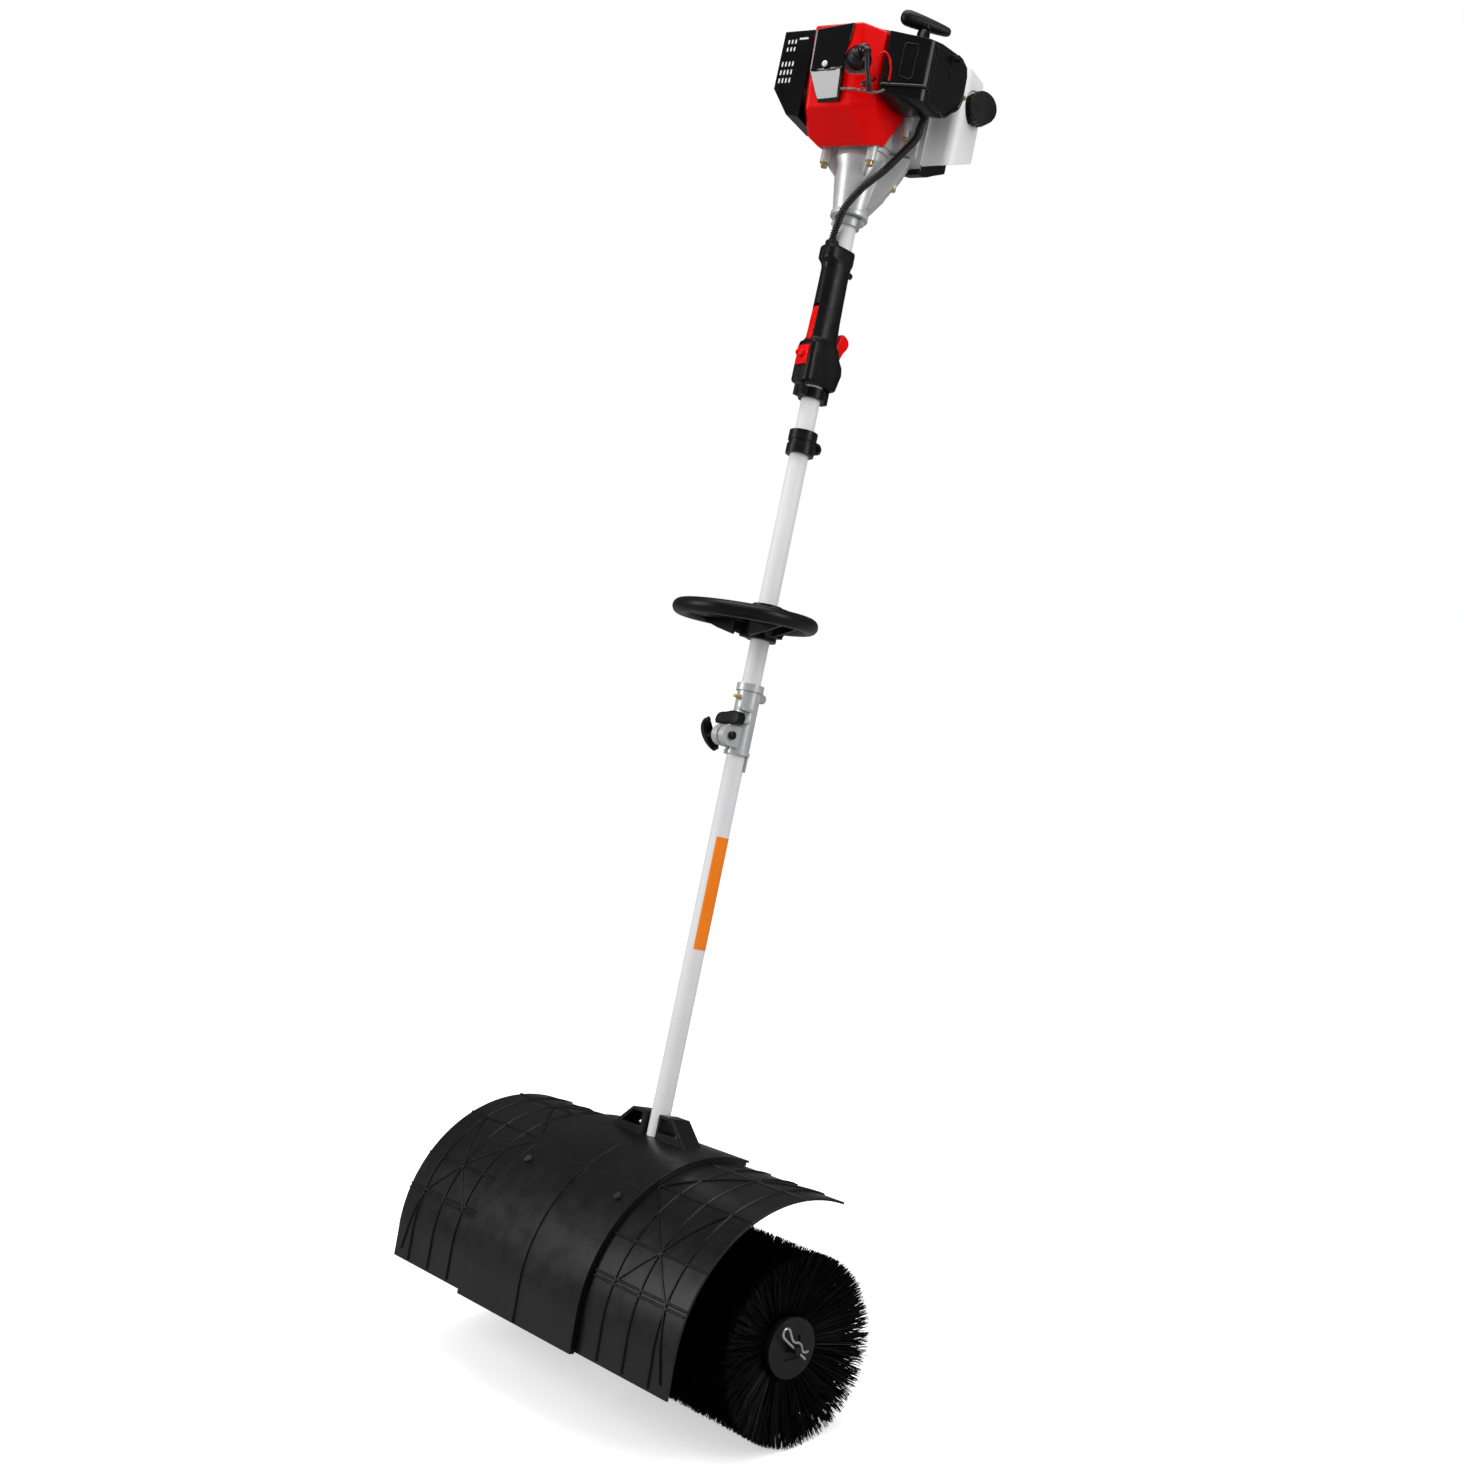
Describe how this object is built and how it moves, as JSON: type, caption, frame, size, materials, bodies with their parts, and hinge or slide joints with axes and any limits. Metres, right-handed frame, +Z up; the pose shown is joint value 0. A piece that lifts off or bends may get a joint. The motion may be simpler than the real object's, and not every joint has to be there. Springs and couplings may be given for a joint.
{
  "type": "power brush sweeper",
  "caption": "Petrol power brush sweeper: black brush roll under a guard, split shaft with loop handle and throttle grip, small two-stroke engine.",
  "frame": {"origin": "ground point under the middle of the brush axle", "axes": "+Z up, +X along the brush axle to the operator's left, +Y towards the operator"},
  "size_m": [0.6, 0.7752, 1.8048],
  "materials": {
    "satin_tube": "satin",
    "cast_aluminium": "satin",
    "steel": "satin",
    "dark_screws": "satin",
    "bronze": "satin",
    "brass_plate": "satin",
    "black_plastic": "matte",
    "gloss_black": "gloss",
    "red_plastic": "gloss",
    "nylon_bristle": "satin",
    "muffler_steel": "matte",
    "black_rubber": "matte",
    "tank_plastic": "satin",
    "rope": "matte"
  },
  "bodies": {
    "power_unit": {"upper_tube": "satin_tube", "upper_bushes": "steel", "shaft_coupler": "cast_aluminium", "brass_bolts": "brass_plate", "loop_handle": "black_plastic", "loop_handle_cap": "black_plastic", "small_screws": "dark_screws", "harness_collar": "black_plastic", "grip_left": "black_plastic", "grip_right": "black_plastic", "grip_clamp": "black_plastic", "throttle_conduit": "black_plastic", "tube_clamp": "cast_aluminium", "clutch_housing": "cast_aluminium", "fan_case": "cast_aluminium", "engine_cylinder": "cast_aluminium", "cylinder_cover": "red_plastic", "cover_panel": "gloss_black", "muffler": "muffler_steel", "muffler_guard": "black_plastic", "spark_plug": "steel", "spark_plug_cap": "black_rubber", "spark_plug_lead": "black_rubber", "stop_wire": "red_plastic", "carburetor": "cast_aluminium", "air_cleaner": "black_plastic", "recoil_starter": "black_plastic", "fuel_tank": "tank_plastic", "tank_stand": "black_plastic"},
    "attachment": {"lower_tube": "satin_tube", "lower_bearings": "steel", "gearbox_left": "cast_aluminium", "gearbox_right": "cast_aluminium", "head_bolts": "steel", "guard_bracket": "dark_screws", "guard_left": "black_plastic", "guard_right": "black_plastic", "guard_centre": "black_plastic"},
    "brush": {"brush_axle": "steel", "worm_wheel": "bronze", "brush_cores": "black_plastic", "bristles_left": "nylon_bristle", "bristles_right": "nylon_bristle", "end_discs": "black_plastic", "hairpin_clips": "steel"},
    "lower_drive": {"lower_drive_shaft": "steel", "worm": "steel"},
    "upper_drive": {"upper_drive_shaft": "steel", "clutch_drum": "steel"},
    "crank": {"fan_flywheel": "cast_aluminium"},
    "knob": {"clamp_knob": "black_plastic"},
    "catch": {"release_catch": "black_plastic"},
    "trigger": {"throttle_trigger": "red_plastic"},
    "lockout": {"lockout_lever": "red_plastic"},
    "stop": {"stop_switch": "red_plastic"},
    "lock_button": {"throttle_lock_button": "red_plastic"},
    "choke": {"choke_lever": "black_plastic"},
    "pull": {"starter_handle": "black_plastic", "starter_rope": "rope"},
    "cap": {"fuel_cap": "black_plastic"}
  },
  "joints": [
    {"name": "attachment_slide", "type": "slide", "parent": "power_unit", "child": "attachment", "axis": [0, -0.2672, -0.9636], "range_m": [0, 0.058]},
    {"name": "brush_spin", "type": "hinge", "parent": "attachment", "child": "brush", "pos_m": [0, 0, 0.1145], "axis": [1, 0, 0], "continuous": true},
    {"name": "lower_shaft_spin", "type": "hinge", "parent": "attachment", "child": "lower_drive", "pos_m": [0, -0.03084, 0.12305], "axis": [0, 0.2672, 0.9636], "continuous": true},
    {"name": "upper_shaft_spin", "type": "hinge", "parent": "power_unit", "child": "upper_drive", "pos_m": [0, 0.2364, 1.08668], "axis": [0, 0.2672, 0.9636], "continuous": true},
    {"name": "crank_spin", "type": "hinge", "parent": "power_unit", "child": "crank", "pos_m": [0, 0.3914, 1.64559], "axis": [0, 0.2672, 0.9636], "continuous": true},
    {"name": "knob_turn", "type": "hinge", "parent": "power_unit", "child": "knob", "pos_m": [0, 0.13518, 0.819], "axis": [1, 0, 0], "range_deg": [0, 720]},
    {"name": "catch_lift", "type": "hinge", "parent": "power_unit", "child": "catch", "pos_m": [0.015, 0.14898, 0.8463], "axis": [0, 0.2672, 0.9636], "range_deg": [0, 12], "stiffness_Nm_per_rad": 0.5},
    {"name": "trigger_pull", "type": "hinge", "parent": "power_unit", "child": "trigger", "pos_m": [0, 0.32361, 1.31882], "axis": [1, 0, 0], "range_deg": [0, 12], "stiffness_Nm_per_rad": 0.4},
    {"name": "lockout_press", "type": "hinge", "parent": "power_unit", "child": "lockout", "pos_m": [0, 0.30019, 1.38966], "axis": [1, 0, 0], "range_deg": [0, 6], "stiffness_Nm_per_rad": 0.4},
    {"name": "stop_slide", "type": "slide", "parent": "power_unit", "child": "stop", "axis": [0, 0.2672, 0.9636], "range_m": [0, 0.005]},
    {"name": "lock_press", "type": "slide", "parent": "power_unit", "child": "lock_button", "axis": [1, 0, 0], "range_m": [0, 0.003], "stiffness_N_per_m": 200},
    {"name": "choke_turn", "type": "hinge", "parent": "power_unit", "child": "choke", "pos_m": [0.10212, 0.44479, 1.70654], "axis": [0.9455, 0.3137, -0.087], "range_deg": [0, 60]},
    {"name": "starter_pull", "type": "slide", "parent": "power_unit", "child": "pull", "axis": [0, 0.2672, 0.9636], "range_m": [0, 0.6], "stiffness_N_per_m": 15},
    {"name": "cap_turn", "type": "hinge", "parent": "power_unit", "child": "cap", "pos_m": [0.06448, 0.53829, 1.68061], "axis": [0.9816, -0.1839, 0.051], "range_deg": [0, 360]}
  ],
  "couplings": [
    {"joint": "lower_shaft_spin", "follows": "brush_spin", "ratio": 20},
    {"joint": "upper_shaft_spin", "follows": "brush_spin", "ratio": 20}
  ]
}
